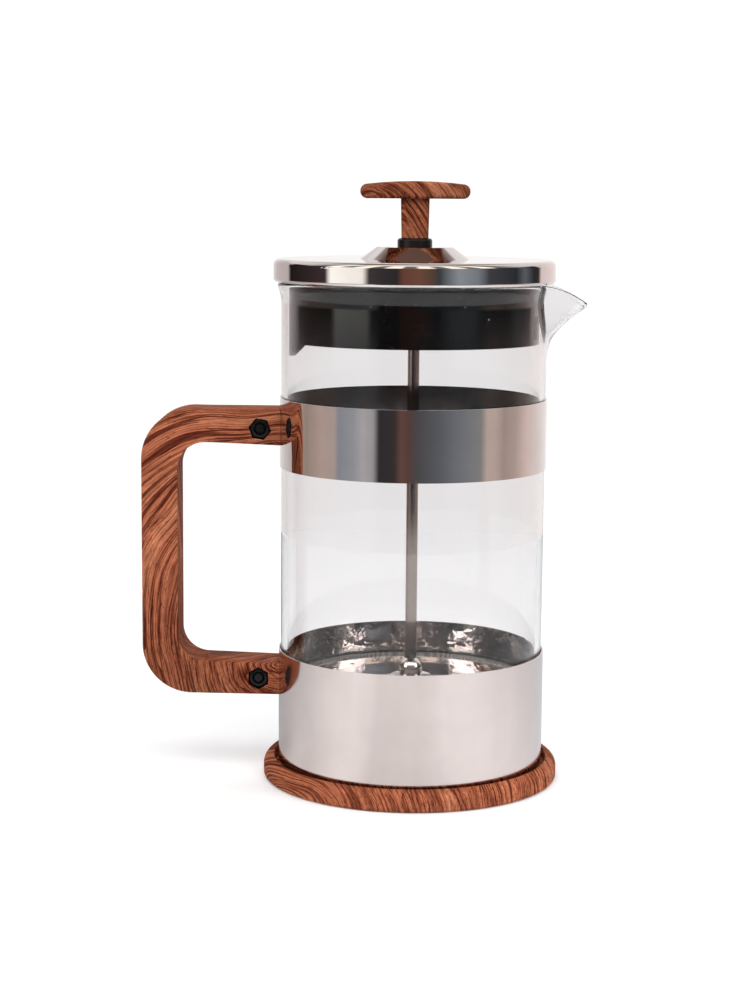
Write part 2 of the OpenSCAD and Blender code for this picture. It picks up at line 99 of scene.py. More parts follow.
NUT_CORNER_R = 4.04
NUT_T = 3.2
NUT_SINK = 0.55                        # how deep its outer face lies in the handle
NUT_FACE_R = 2.95                      # flat ring left by the chamfer on its corners
NUT_HOLE_R = 2.05
THREAD_PITCH = 0.7
THREAD_ROOT_R = 1.72
BOLT_R = 2.0
BOLT_SINK = 0.4
BOLT_THREAD_LENGTH = 9.0
BOLT_HEAD_Y = 6.85                     # underside of the head
BOLT_HEAD_R = 3.5
BOLT_HEAD_EDGE_H = 0.8
BOLT_DOME_R = 1.6
SOCKET_R = 1.45

KNOB_Z = 206.6
STEM_H = 14.6
STEM_TOP_W = 10.8
STEM_LOW_W = 10.1
STEM_DEPTH = 9.4
BAR_T = 5.4
BAR_CROWN = 1.05
BAR_W = 41.2
BAR_DEPTH = 15.0
BAR_EDGE_R = 1.5
BAR_PLAN_R = 5.0
STEM_EDGE_R = 1.1
BORE_R = 3.05
BORE_DEPTH = STEM_H - 1.0

COIL_WIRE_R = 0.2
COIL_TURNS = 180


# ---------------------------------------------------------------------------
# Mesh helpers
# ---------------------------------------------------------------------------
def arc(cx, cy, r, start, end, steps):
    """Points of an arc in degrees, both ends included."""
    return [
        (cx + r * math.cos(math.radians(start + (end - start) * i / steps)),
         cy + r * math.sin(math.radians(start + (end - start) * i / steps)))
        for i in range(steps + 1)
    ]


def make_object(name, bm, material, sharp_angle=35.0):
    """Turns a bmesh in millimetres into a smooth-shaded object in metres."""
    bmesh.ops.scale(bm, vec=(MM, MM, MM), verts=bm.verts)
    bmesh.ops.recalc_face_normals(bm, faces=bm.faces)
    mesh = bpy.data.meshes.new(name)
    bm.to_mesh(mesh)
    bm.free()
    mesh.polygons.foreach_set("use_smooth", [True] * len(mesh.polygons))
    mesh.set_sharp_from_angle(angle=math.radians(sharp_angle))
    mesh.materials.append(material)
    obj = bpy.data.objects.new(name, mesh)
    bpy.context.scene.collection.objects.link(obj)
    return obj


def join_rings(bm, rings, closed=False):
    """Skins rings of equal length; a ring of one point closes to it."""
    count = max(len(ring) for ring in rings)
    pairs = list(zip(rings, rings[1:])) + ([(rings[-1], rings[0])] if closed else [])
    for low, high in pairs:
        for k in range(count):
            n = (k + 1) % count
            quad = [low[k % len(low)], low[n % len(low)], high[n % len(high)], high[k % len(high)]]
            corners = list(dict.fromkeys(quad))
            if len(corners) > 2:
                bm.faces.new(corners)


def lathe(profile, steps, closed=True):
    """Turns an outline of (r, z) points about the Z axis."""
    bm = bmesh.new()
    rings = []
    for r, z in profile:
        if r < 1e-6:
            rings.append([bm.verts.new((0, 0, z))])
            continue
        rings.append([
            bm.verts.new((r * math.cos(2 * math.pi * k / steps),
                          r * math.sin(2 * math.pi * k / steps), z))
            for k in range(steps)
        ])
    join_rings(bm, rings, closed)
    return bm


def prism_along_y(outline, y0, y1):
    """Prism between y0 and y1 over an outline of (x, z) points."""
    bm = bmesh.new()
    front, back = ([bm.verts.new((x, y, z)) for x, z in outline] for y in (y0, y1))
    bm.faces.new(front[::-1])
    bm.faces.new(back)
    count = len(outline)
    for k in range(count):
        n = (k + 1) % count
        bm.faces.new((front[k], front[n], back[n], back[k]))
    return bm


def round_edges(bm, edges, radius, segments):
    bmesh.ops.bevel(bm, geom=list(edges), offset=radius, segments=segments, profile=0.5,
                    affect="EDGES", clamp_overlap=True)


def along_y(radius, sides, x, z, y0, y1, turn=0.0):
    """Cutter or rod along Y: a polygon of that many sides about (x, z)."""
    corners = [math.radians(turn) + 2 * math.pi * k / sides for k in range(sides)]
    outline = [(x + radius * math.cos(a), z + radius * math.sin(a)) for a in corners]
    return prism_along_y(outline, y0, y1)


def cut(obj, cutters):
    """Takes the cutters out of obj with exact booleans and bakes the result."""
    for bm in cutters:
        tool = make_object("cutter", bm, obj.data.materials[0])
        step = obj.modifiers.new("cut", "BOOLEAN")
        step.operation = "DIFFERENCE"
        step.solver = "EXACT"
        step.object = tool
        bake(obj)
        bpy.data.objects.remove(tool)
    obj.data.set_sharp_from_angle(angle=math.radians(35))


def bake(obj):
    """Applies obj's modifiers to its mesh."""
    graph = bpy.context.evaluated_depsgraph_get()
    baked = bpy.data.meshes.new_from_object(obj.evaluated_get(graph))
    baked.name = obj.name
    obj.modifiers.clear()
    obj.data = baked


def even_normals(obj):
    """Keeps the wide faces of obj flat where they run into its roundings."""
    step = obj.modifiers.new("normals", "WEIGHTED_NORMAL")
    step.keep_sharp = True
    bake(obj)


def put(obj, body, slot, *replaced):
    """Rides obj on a body and lets it stand for the CAD nodes it replaces."""
    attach(obj, body)
    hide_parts(*replaced)


# ---------------------------------------------------------------------------
# Material helpers
# ---------------------------------------------------------------------------
def srgb(r, g, b):
    """Linear colour of an 8-bit sRGB colour."""
    def linear(v):
        v /= 255
        return v / 12.92 if v <= 0.04045 else ((v + 0.055) / 1.055) ** 2.4
    return (linear(r), linear(g), linear(b), 1.0)


class Nodes:
    """Short ways to add and join the nodes of a tree."""

    def __init__(self, tree):
        self.tree = tree

    def add(self, kind, inputs=(), **settings):
        node = self.tree.nodes.new(kind)
        for key, value in settings.items():
            setattr(node, key, value)
        for socket, value in dict(inputs).items():
            self.feed(node.inputs[socket], value)
        return node

    def feed(self, socket, value):
        if isinstance(value, bpy.types.NodeSocket):
            self.tree.links.new(value, socket)
        else:
            socket.default_value = value

    def math(self, operation, a, b=0.0, clamp=False):
        node = self.add("ShaderNodeMath", {0: a, 1: b}, operation=operation, use_clamp=clamp)
        return node.outputs[0]

    def vector_math(self, operation, a, b=(0, 0, 0), out=0):
        return self.add("ShaderNodeVectorMath", {0: a, 1: b}, operation=operation).outputs[out]

    def combine(self, x, y, z):
        return self.add("ShaderNodeCombineXYZ", {0: x, 1: y, 2: z}).outputs[0]

    def separate(self, vector):
        return self.add("ShaderNodeSeparateXYZ", {0: vector}).outputs

    def noise(self, vector, scale, detail=2.0, roughness=0.5, out="Fac"):
        node = self.add("ShaderNodeTexNoise", {
            "Vector": vector, "Scale": scale, "Detail": detail, "Roughness": roughness})
        return node.outputs[out]

    def ramp(self, fac, stops):
        node = self.add("ShaderNodeValToRGB", {"Fac": fac})
        elements = node.color_ramp.elements
        while len(elements) < len(stops):
            elements.new(0.5)
        for element, (position, colour) in zip(elements, stops):
            element.position = position
            element.color = colour
        return node.outputs["Color"]

    def grey_ramp(self, fac, *stops):
        return self.ramp(fac, [(p, (v, v, v, 1.0)) for p, v in stops])

    def spread(self, fac, low, high, to_low=0.0, to_high=1.0, kind="LINEAR"):
        node = self.add("ShaderNodeMapRange", {
            "Value": fac, "From Min": low, "From Max": high, "To Min": to_low, "To Max": to_high},
            interpolation_type=kind)
        return node.outputs["Result"]

    def blend(self, fac, a, b, mode="MIX"):
        node = self.add("ShaderNodeMix", data_type="RGBA", blend_type=mode)
        self.feed(node.inputs[0], fac)
        self.feed(node.inputs[6], a)
        self.feed(node.inputs[7], b)
        return node.outputs[2]

    def darken(self, colour, share):
        """Multiplies a colour by one number."""
        return self.blend(1.0, colour, self.combine(share, share, share), "MULTIPLY")

    def ring(self, x, y, stops):
        """Colour by the angle round from the camera side, in degrees, + to the right."""
        turn = self.math("ARCTAN2", x, self.math("MULTIPLY", y, -1.0))
        around = self.spread(turn, -math.pi, math.pi, 0.0, 1.0)
        return self.ramp(around, [((angle + 180) / 360, colour + (1.0,)) for angle, colour in stops])

    def place_mm(self):
        """Object coordinates in millimetres."""
        coords = self.add("ShaderNodeTexCoord").outputs["Object"]
        return self.vector_math("MULTIPLY", coords, (1000, 1000, 1000))

    def bump(self, height, distance, strength=1.0, normal=None):
        inputs = {"Height": height, "Distance": distance, "Strength": strength}
        if normal is not None:
            inputs["Normal"] = normal
        return self.add("ShaderNodeBump", inputs).outputs["Normal"]


class Shader(Nodes):
    """A material, with the settings of its surface."""

    def __init__(self, name, **sockets):
        self.material = bpy.data.materials.new(name)
        self.material.use_nodes = True
        super().__init__(self.material.node_tree)
        self.surface = self.tree.nodes["Principled BSDF"]
        self.output = self.tree.nodes["Material Output"]
        for socket, value in sockets.items():
            self.surface.inputs[socket.replace("_", " ")].default_value = value

    def set(self, socket, value):
        self.feed(self.surface.inputs[socket], value)


# ---------------------------------------------------------------------------
# Materials
# ---------------------------------------------------------------------------
WOOD_TONES = (
    (0.00, srgb(58, 23, 15)),
    (0.12, srgb(92, 41, 28)),
    (0.30, srgb(136, 74, 53)),
    (0.60, srgb(175, 107, 78)),
    (0.82, srgb(165, 97, 69)),
    (1.00, srgb(114, 57, 40)),
)


def wood_print(name, across, along, ring_mm, seed, warp_mm=22.0, bright=1.0):
    """Printed wood grain. across and along are functions that turn warped coordinates
    into millimetres across and along the grain; ring_mm is from dark line to dark line."""
    s = Shader(name, Roughness=0.58, Specular_IOR_Level=0.01)
    place = s.vector_math("ADD", s.place_mm(), (seed * 13.0, seed * 7.0, seed * 5.0))
    slow = s.noise(place, 0.02, 1.0, 0.4, out="Color")
    warp = s.vector_math("MULTIPLY", s.vector_math("SUBTRACT", slow, (0.5,) * 3), (warp_mm,) * 3)
    warped = s.vector_math("ADD", s.place_mm(), warp)
    u = across(s, warped)
    v = along(s, warped)

    def grain(per_mm_across, per_mm_along, offset, detail=2.0, roughness=0.5):
        where = s.combine(s.math("MULTIPLY", u, per_mm_across), s.math("MULTIPLY", v, per_mm_along),
                          seed + offset)
        return s.noise(where, 1.0, detail, roughness)

    def rings(width, drift, offset):
        """Sawtooth from 0 at a dark line to 1 at the next."""
        phase = s.math("ADD", s.math("DIVIDE", u, width),
                       s.math("MULTIPLY", grain(0.07, 0.012, offset), drift))
        return s.math("FRACT", phase)

    # Growth rings: dark line, quick rise to the light wood, slow fall to the next
    # line; finer rings between them; both fade in and out
    fade = s.spread(grain(0.13, 0.014, 9.0), 0.34, 0.62, 0.35, 1.1)
    wide = s.math("MULTIPLY", s.math("SUBTRACT", rings(ring_mm, 8.0, 0.0), 0.62), fade)
    fine_fade = s.spread(grain(0.20, 0.02, 11.0), 0.36, 0.64, 0.15, 0.8)
    fine = s.math("MULTIPLY", s.math("SUBTRACT", rings(ring_mm * 0.41, 9.0, 2.0), 0.55), fine_fade)
    colour = s.ramp(s.math("ADD", 0.60, s.math("ADD", wide, fine)), WOOD_TONES)

    # Dark and light streaks, thin lines, fibres and short dark pores
    streak = grain(0.20, 0.010, 3.0)
    colour = s.blend(s.spread(streak, 0.54, 0.74, 0.0, 0.65), colour, srgb(84, 37, 26))
    colour = s.blend(s.spread(streak, 0.46, 0.30, 0.0, 0.6), colour, srgb(200, 133, 99))
    line = grain(0.9, 0.025, 4.0, 2.0, 0.6)
    colour = s.blend(s.spread(line, 0.52, 0.62, 0.0, 0.85), colour, srgb(80, 34, 23))
    fibre = grain(1.4, 0.18, 5.0, 4.0, 0.8)
    shade = s.grey_ramp(fibre, (0.30, 0.42 * bright), (0.45, 0.89 * bright),
                        (0.55, 1.09 * bright), (0.70, 1.60 * bright))
    colour = s.blend(1.0, colour, shade, "MULTIPLY")
    patch = s.grey_ramp(s.noise(place, 0.013, 1.0, 0.4), (0.36, 0.76), (0.62, 1.10))
    colour = s.blend(1.0, colour, patch, "MULTIPLY")
    pore = grain(1.7, 0.35, 7.0, 2.0, 0.6)
    colour = s.blend(s.spread(pore, 0.58, 0.68, 0.0, 0.65), colour, srgb(62, 27, 18))

    s.set("Base Color", colour)
    s.set("Roughness", s.spread(fibre, 0.3, 0.7, 0.66, 0.50))
    s.set("Normal", s.bump(s.math("SUBTRACT", fibre, s.math("MULTIPLY", pore, 0.4)), 0.00005, 0.5))
    return s.material


def round_grain(cx, cz, tilt, power=2.0):
    """Grain in arcs about (cx, cz) in the XZ plane, squarer as power grows; it drifts
    with depth by tilt."""
    def across(s, place):
        x, y, z = s.separate(place)
        dx = s.math("ABSOLUTE", s.math("SUBTRACT", x, cx))
        dz = s.math("ABSOLUTE", s.math("SUBTRACT", z, cz))
        both = s.math("ADD", s.math("POWER", dx, power), s.math("POWER", dz, power))
        return s.math("ADD", s.math("POWER", both, 1 / power), s.math("MULTIPLY", y, tilt))

    def along(s, place):
        x, _, z = s.separate(place)
        angle = s.math("ARCTAN2", s.math("SUBTRACT", cz, z), s.math("SUBTRACT", cx, x))
        return s.math("MULTIPLY", angle, 60.0)
    return across, along


def fan_grain(cx, spread):
    """Grain that lies flat at x = cx and fans out to upright away from it."""
    def across(s, place):
        x, y, z = s.separate(place)
        dx = s.math("SUBTRACT", x, cx)
        dz = s.math("MULTIPLY", s.math("ADD", z, 1.0), spread)
        far = s.math("SQRT", s.math("ADD", s.math("MULTIPLY", dx, dx), s.math("MULTIPLY", dz, dz)))
        return s.math("ADD", far, s.math("MULTIPLY", y, 0.22))

    def along(s, place):
        _, y, z = s.separate(place)
        return s.math("ADD", y, s.math("MULTIPLY", z, 2.0))
    return across, along


def steel(name, colour, roughness, wave_mm, wave_height, streaks=0.0, inside=None, dish=0.0):
    """Stainless steel: slow waves in the sheet, fine scratches, smears, and for
    rolled sheet faint upright streaks, partly the sheet's own and partly painted reflection.
    inside gives a rolled piece another finish on its inner face: (radius between the faces,
    roughness, wave_mm, wave_height). dish makes a flat disc look slightly hollow: its slope
    per millimetre from the axis."""
    s = Shader(name, Metallic=1.0, Base_Color=colour, Roughness=roughness)
    place = s.place_mm()
    smear = s.noise(place, 0.06, 4.0, 0.6)
    shade = s.spread(smear, 0.35, 0.7, 1.0, 0.92)
    if streaks:
        # Upright streaks in the colour: partly the rolled sheet's own, partly painted reflection
        drawn = s.noise(s.vector_math("MULTIPLY", place, (0.045, 0.045, 0.002)), 1.0, 3.0, 0.55)
        shade = s.math("MULTIPLY", shade, s.spread(drawn, 0.3, 0.7, 1 - streaks, 1 + streaks))
    s.set("Base Color", s.darken(colour, shade))
    lines = s.noise(s.vector_math("MULTIPLY", place, (1.0, 1.0, 0.15)), 4.0, 3.0, 0.7)
    worn = s.math("ADD", s.spread(lines, 0.3, 0.7, 0.8, 1.25), s.spread(smear, 0.5, 0.8, 0.0, 0.6))
    height = s.math("MULTIPLY", s.noise(place, 1.0 / wave_mm, 1.0, 0.4), wave_height)
    x, y, _ = s.separate(place)
    far = s.vector_math("LENGTH", s.combine(x, y, 0.0), out="Value")
    if dish:
        hollow = s.math("MULTIPLY", s.math("MULTIPLY", far, far), dish / 2)
        height = s.math("ADD", height, hollow)
    if inside:
        split_r, inner_roughness, inner_mm, inner_height = inside
        inner = s.math("LESS_THAN", far, split_r)
        outer = s.math("SUBTRACT", 1.0, inner)
        worn = s.math("MULTIPLY", worn, s.math("ADD", s.math("MULTIPLY", outer, roughness),
                                               s.math("MULTIPLY", inner, inner_roughness)))
        dents = s.math("MULTIPLY", s.noise(place, 1.0 / inner_mm, 3.0, 0.5), inner_height)
        height = s.math("ADD", s.math("MULTIPLY", outer, height), s.math("MULTIPLY", inner, dents))
    else:
        worn = s.math("MULTIPLY", worn, roughness)
    s.set("Roughness", worn)
    s.set("Normal", s.bump(lines, 0.000004, 0.2, s.bump(height, MM)))
    return s.material


def clear_glass():
    """Clear glass with the faint waves of blown glass. Shadow rays pass it, so the
    pieces inside the beaker are lit as they are through real glass."""
    s = Shader("beaker_glass", Base_Color=(0.935, 0.927, 0.933, 1), Roughness=0.0, IOR=1.36,
               Transmission_Weight=1.0)
    place = s.place_mm()
    waves = s.noise(s.vector_math("MULTIPLY", place, (1, 1, 0.5)), 0.05, 1.0, 0.4)
    s.set("Normal", s.bump(waves, 0.00012, 0.35))
    smudge = s.noise(place, 0.09, 5.0, 0.65)
    s.set("Roughness", s.spread(smudge, 0.55, 0.85, 0.0, 0.05))
    clear = s.add("ShaderNodeBsdfTransparent", {"Color": (0.93, 0.94, 0.94, 1)})
    shadow = s.add("ShaderNodeLightPath").outputs["Is Shadow Ray"]
    mix = s.add("ShaderNodeMixShader", {0: shadow, 1: s.surface.outputs[0], 2: clear.outputs[0]})
    s.tree.links.new(mix.outputs[0], s.output.inputs["Surface"])
    return s.material


def black_plastic(name, roughness, colour, dust, shine=0.2):
    """Moulded black plastic or blackened steel with tiny specks of dust."""
    s = Shader(name, Base_Color=colour, Roughness=roughness, Specular_IOR_Level=shine)
    place = s.place_mm()
    cloud = s.noise(place, 0.12, 4.0, 0.6)
    s.set("Roughness", s.spread(cloud, 0.3, 0.7, roughness * 0.8, roughness * 1.3))
    cells = s.add("ShaderNodeTexVoronoi", {"Vector": place, "Scale": 0.22})
    chosen = s.spread(s.separate(cells.outputs["Color"])[0], 0.55, 0.60, 0.0, 1.0)
    dot = s.math("MULTIPLY", s.spread(cells.outputs["Distance"], 0.045, 0.075, 1.0, 0.0), chosen)
    lifted = tuple(c * 1.5 + 0.002 for c in colour[:3]) + (1.0,)
    tint = s.blend(s.spread(cloud, 0.45, 0.75, 0.0, 1.0), colour, lifted)
    s.set("Base Color", s.blend(s.math("MULTIPLY", dot, dust), tint, (0.42, 0.42, 0.42, 1)))
    s.set("Normal", s.bump(s.noise(place, 2.2, 2.0, 0.5), 0.00001, 0.4))
    return s.material


def rubber():
    """Matt rubber with a fine moulded grain."""
    s = Shader("pad_rubber", Base_Color=(0.02, 0.02, 0.02, 1), Roughness=0.8)
    grain = s.noise(s.place_mm(), 1.6, 3.0, 0.6)
    s.set("Base Color", s.grey_ramp(grain, (0.35, 0.015), (0.7, 0.045)))
    s.set("Normal", s.bump(grain, 0.00008, 0.6))
    return s.material


def woven_wire():
    """Fine steel mesh: two crossed sets of wires, one over the other."""
    s = Shader("mesh_wire", Metallic=1.0, Base_Color=(0.5, 0.49, 0.47, 1), Roughness=0.38)
    x, y, _ = s.separate(s.place_mm())
    turn = 2 * math.pi / 0.6
    warp = s.math("SINE", s.math("MULTIPLY", x, turn))
    weft = s.math("SINE", s.math("MULTIPLY", y, turn))
    weave = s.math("ADD", s.math("MULTIPLY", warp, weft), s.math("MAXIMUM", warp, weft))
    # Near black in the gaps between the wires, darker down their sides, lightest where they cross:
    # painted shade of the weave
    s.set("Base Color", s.ramp(s.spread(weave, -1.2, 1.6, 0.0, 1.0), [
        (0.0, (0.05, 0.05, 0.05, 1)), (0.5, (0.38, 0.37, 0.35, 1)), (1.0, (0.72, 0.70, 0.67, 1))]))
    s.set("Normal", s.bump(weave, 0.00008, 0.8))
    return s.material


def brass():
    """Turned brass with fine rings."""
    s = Shader("insert_brass", Metallic=1.0, Base_Color=(0.72, 0.52, 0.25, 1), Roughness=0.28)
    place = s.place_mm()
    rings = s.noise(s.vector_math("MULTIPLY", place, (0.2, 0.2, 6.0)), 1.0, 2.0, 0.6)
    s.set("Roughness", s.spread(rings, 0.3, 0.7, 0.2, 0.36))
    s.set("Base Color", s.blend(rings, (0.64, 0.44, 0.19, 1), (0.80, 0.60, 0.32, 1)))
    s.set("Normal", s.bump(rings, 0.00002, 0.5))
    return s.material


HANDLE_WOOD = wood_print("handle_wood", *round_grain(-42.0, 54.0, 0.8, 3.0), ring_mm=2.5, seed=2.0,
                         warp_mm=19.0)
BASE_WOOD = wood_print("base_wood", *fan_grain(-46.0, 1.7), ring_mm=1.9, seed=17.0, warp_mm=9.0,
                       bright=1.16)
KNOB_WOOD = wood_print("knob_wood", *round_grain(-25.0, 198.0, 0.7), ring_mm=2.2, seed=31.0,
                       warp_mm=14.0, bright=0.94)
LID_STEEL = steel("lid_steel", (0.74, 0.70, 0.68, 1), 0.045, 26.0, 0.035)
BAND_STEEL = steel("band_steel", (0.74, 0.70, 0.68, 1), 0.045, 26.0, 0.035,
                   inside=(50.4, 0.12, 12.0, 0.25))
# The cup's upright streaks are partly painted reflection
CUP_STEEL = steel("cup_steel", (0.700, 0.619, 0.600, 1), 0.12, 22.0, 0.05, 0.05,
                  inside=(50.65, 0.06, 10.0, 0.75))
ROD_STEEL = steel("rod_steel", (0.36, 0.305, 0.275, 1), 0.10, 20.0, 0.004)
FILTER_STEEL = steel("filter_steel", (0.78, 0.745, 0.71, 1), 0.06, 12.0, 0.05)
PLATE_STEEL = steel("plate_steel", (0.84, 0.81, 0.78, 1), 0.10, 17.0, 0.45, dish=0.0048)
NUT_STEEL = steel("nut_steel", (0.55, 0.54, 0.52, 1), 0.25, 8.0, 0.002)
GLASS = clear_glass()
BLACK = black_plastic("black_plastic", 0.22, (0.0015, 0.0015, 0.0015, 1), 0.6, 0.1)
COLLAR_BLACK = black_plastic("collar_plastic", 0.24, (0.010, 0.008, 0.008, 1), 0.2)
BLACK_METAL = black_plastic("black_oxide", 0.24, (0.005, 0.005, 0.0055, 1), 0.0)
RUBBER = rubber()
WIRE = woven_wire()
BRASS = brass()

NODE_MATERIALS = {
    "base_pad": RUBBER, "base_plate": BASE_WOOD, "base_screws": NUT_STEEL,
    "base_cup": CUP_STEEL, "cup_bracket": CUP_STEEL, "band": BAND_STEEL,
    "lid_collar": COLLAR_BLACK, "collar_nut": BLACK, "lid_shell": LID_STEEL,
    "inner_lid": BLACK, "knob_insert": BRASS, "plunger_rod": ROD_STEEL,
    "rod_hub": FILTER_STEEL, "spiral_plate": PLATE_STEEL, "filter_mesh": WIRE,
    "cross_plate": FILTER_STEEL, "cross_nut": NUT_STEEL,
}
for node_name, finish in NODE_MATERIALS.items():
    for slot in NODES[node_name].material_slots:
        slot.material = finish


# ---------------------------------------------------------------------------
# Beaker: one smooth shell with a rounded heel, a flared lip and a drawn spout
# ---------------------------------------------------------------------------
def smooth_step(t):
    t = min(1.0, max(0.0, t))
    return t * t * (3 - 2 * t)


def bend_rise(above, bend):
    """A straight rise that starts in a soft bend."""
    return (above + math.sqrt(above * above + bend * bend)) / 2


def lip_flare(z):
    """How far the wall leans out below the rim."""
    return LIP_OUT * smooth_step((z - LIP_START_Z) / (RIM_Z - LIP_START_Z))


def spout_push(angle, z):
    """How far the wall is drawn out at this angle (degrees) and height."""
    if z <= SPOUT_LOW_Z:
        return 0.0
    climb = min(1.0, (z - SPOUT_LOW_Z) / (RIM_Z - SPOUT_LOW_Z))
    half = SPOUT_HALF_ANGLE * (0.35 + 0.65 * math.sin(math.pi / 2 * climb))
    t = abs(angle) / half
    if t >= 1:
        return 0.0
    slope = (SPOUT_REACH + 0.2 - BEAKER_R) / bend_rise(RIM_Z - SPOUT_DROP - SPOUT_BEND_Z, SPOUT_BEND)
    reach = slope * bend_rise(z - SPOUT_BEND_Z, SPOUT_BEND)
    start = smooth_step((z - SPOUT_LOW_Z) / 6.0)
    return start * reach * math.cos(math.pi / 2 * t) ** SPOUT_SHARPNESS


def rim_height(angle):
    """Height of the rim at this angle: it runs down to the tip of the spout."""
    low, high = RIM_Z - 12.0, RIM_Z
    for _ in range(30):
        middle = (low + high) / 2
        x = (BEAKER_R + LIP_OUT + spout_push(angle, middle)) * math.cos(math.radians(angle))
        share = max(0.0, (x - SPOUT_START_X) / (SPOUT_REACH - SPOUT_START_X))
        dip = SPOUT_DROP * share ** SPOUT_DIP_POWER
        if middle > RIM_Z - dip and abs(angle) < SPOUT_HALF_ANGLE:
            high = middle
        else:
            low = middle
    return high


def beaker_profile():
    """Outline of the wall from the middle of the underside out and back in:
    (r, z, share), the share running from 0 on the outer face to 1 on the inner."""
    floor = GLASS_FOOT_Z + GLASS_FLOOR_T
    inner = BEAKER_R - GLASS_T
    climb = [*range(20, 141, 20), 155] + [SPOUT_LOW_Z + 0.9 * k for k in range(30)]
    outside = [(r, GLASS_FOOT_Z + height) for r, height in PUNT]
    outside += arc(BEAKER_R - HEEL_R, GLASS_FOOT_Z + HEEL_R, HEEL_R, -90, 0, 10)
    outside += [(BEAKER_R + lip_flare(z), z) for z in climb]
    lip = arc(BEAKER_R + LIP_OUT - LIP_R, RIM_Z - LIP_R, LIP_R, -10, 190, 12)
    inside = [(inner + lip_flare(z), z) for z in reversed(climb)]
    inside += arc(inner - INNER_HEEL_R, floor + INNER_HEEL_R, INNER_HEEL_R, 0, -90, 8)
    inside += [(r, floor + height) for r, height in INNER_PUNT]
    return ([(r, z, 0.0) for r, z in outside]
            + [(r, z, k / (len(lip) - 1)) for k, (r, z) in enumerate(lip)]
            + [(r, z, 1.0) for r, z in inside])


def beaker_angles():
    """Angles round the beaker, closer together across the spout."""
    across_spout = [-30 + 0.75 * k for k in range(80)]
    elsewhere = [30 + 2.5 * k for k in range(120)]
    return across_spout + elsewhere


def beaker_point(r, z, share, angle):
    """A point of the wall, drawn out and pressed down where the spout is."""
    signed = angle if angle <= 180 else angle - 360
    drop = RIM_Z - rim_height(signed)
    press = smooth_step((z - SPOUT_LOW_Z - 4) / (RIM_Z - SPOUT_LOW_Z - 6))
    height = z - drop * press
    push = spout_push(signed, min(height, RIM_Z - drop))
    # The drawn glass grows thinner towards the tip, so the inner face goes out further
    thin = SPOUT_THINNING * min(1.0, push / (SPOUT_REACH - BEAKER_R))
    reach = min(r + push + thin * share, SPOUT_REACH - 0.02)
    turn = math.radians(angle)
    return (reach * math.cos(turn), reach * math.sin(turn), height)


def build_beaker():
    bm = bmesh.new()
    angles = beaker_angles()
    rings = [
        [bm.verts.new((0, 0, z))] if r < 1e-6
        else [bm.verts.new(beaker_point(r, z, share, angle)) for angle in angles]
        for r, z, share in beaker_profile()
    ]
    join_rings(bm, rings)
    return make_object("glass_beaker", bm, GLASS, 60)


put(build_beaker(), "jug", "clear_glass", "beaker")


# ---------------------------------------------------------------------------
# Handle and its fasteners
# ---------------------------------------------------------------------------
def handle_outline():
    """C shape in X and Z: round the outside from the upper arm's end, back by the inside."""
    left, top, low = -HANDLE_REACH, ARM_TOP_Z, ARM_LOW_Z
    r, inner = OUTER_CORNER_R, INNER_CORNER_R
    points = [(HANDLE_END_X, top)]
    points += arc(left + r, top - r, r, 90, 180, 20)
    points += arc(left + r, low + r, r, 180, 270, 20)
    points += [(HANDLE_END_X, low - ARM_LOW_DIP), (HANDLE_END_X, GAP_LOW_Z - GAP_LOW_DIP)]
    points += arc(GRIP_IN_X + inner, GAP_LOW_Z + inner, inner, 270, 180, 16)
    points += arc(GRIP_IN_X + inner, GAP_TOP_Z - inner, inner, 180, 90, 16)
    points += [(HANDLE_END_X, GAP_TOP_Z - GAP_TOP_DIP)]
    return points


def cylinder(r, low, high, steps):
    """Upright cylinder about the beaker's axis."""
    return lathe([(0, low), (r, low), (r, high), (0, high)], steps, closed=False)


def build_handle():
    """The C-shaped grip, cut to fit the band, the cup, the fasteners and the ears."""
    half = HANDLE_W / 2
    bm = prism_along_y(handle_outline(), -half, half)
    rim = [e for e in bm.edges if abs(e.verts[0].co.y - e.verts[1].co.y) < 1e-6
           and min(v.co.x for v in e.verts) < HANDLE_END_X - 0.5]
    round_edges(bm, rim, HANDLE_EDGE_R, 6)
    obj = make_object("handle_grip", bm, HANDLE_WOOD)
    # Black for the insides of the pockets, partly painted shade in the recesses
    obj.data.materials.append(BLACK)
    middle = (ARM_TOP_Z + ARM_LOW_Z) / 2
    cutters = [
        cylinder(BAND_CUT_R, middle, ARM_TOP_Z + 10, 256),
        cylinder(CUP_CUT_R, ARM_LOW_Z - 10, middle, 256),
    ]
    for x, z, turn in (UPPER_BOLT, LOWER_BOLT):
        cutters.append(along_y(POCKET_CORNER_R, 6, x, z, -half - 2, -half + POCKET_DEPTH, turn))
        cutters.append(along_y(HEAD_POCKET_R, 48, x, z, half - HEAD_POCKET_DEPTH, half + 2))
    for (_, z, _), (wide, tall) in ((UPPER_BOLT, EAR_SLOT), (LOWER_BOLT, BRACKET_SLOT)):
        start, end, low, high = SLOT_END_X, HANDLE_END_X + 4, z - tall / 2, z + tall / 2
        slot = [(start, low), (end, low), (end, high), (start, high)]
        cutters.append(prism_along_y(slot, -wide / 2, wide / 2))
    cut(obj, cutters)
    paint_pocket_shade(obj)
    even_normals(obj)
    return obj


def paint_pocket_shade(obj):
    """Gives the insides of the pockets the black plastic: partly the bare plastic under the print,
    partly painted shade in the recesses.
    """
    half = HANDLE_W / 2 * MM
    for face in obj.data.polygons:
        centre = face.center
        for x, z, _ in (UPPER_BOLT, LOWER_BOLT):
            far = math.hypot(centre.x - x * MM, centre.z - z * MM)
            near = far < (POCKET_CORNER_R + 0.05) * MM
            if near and abs(centre.y) < half - 0.01 * MM:
                face.material_index = 1


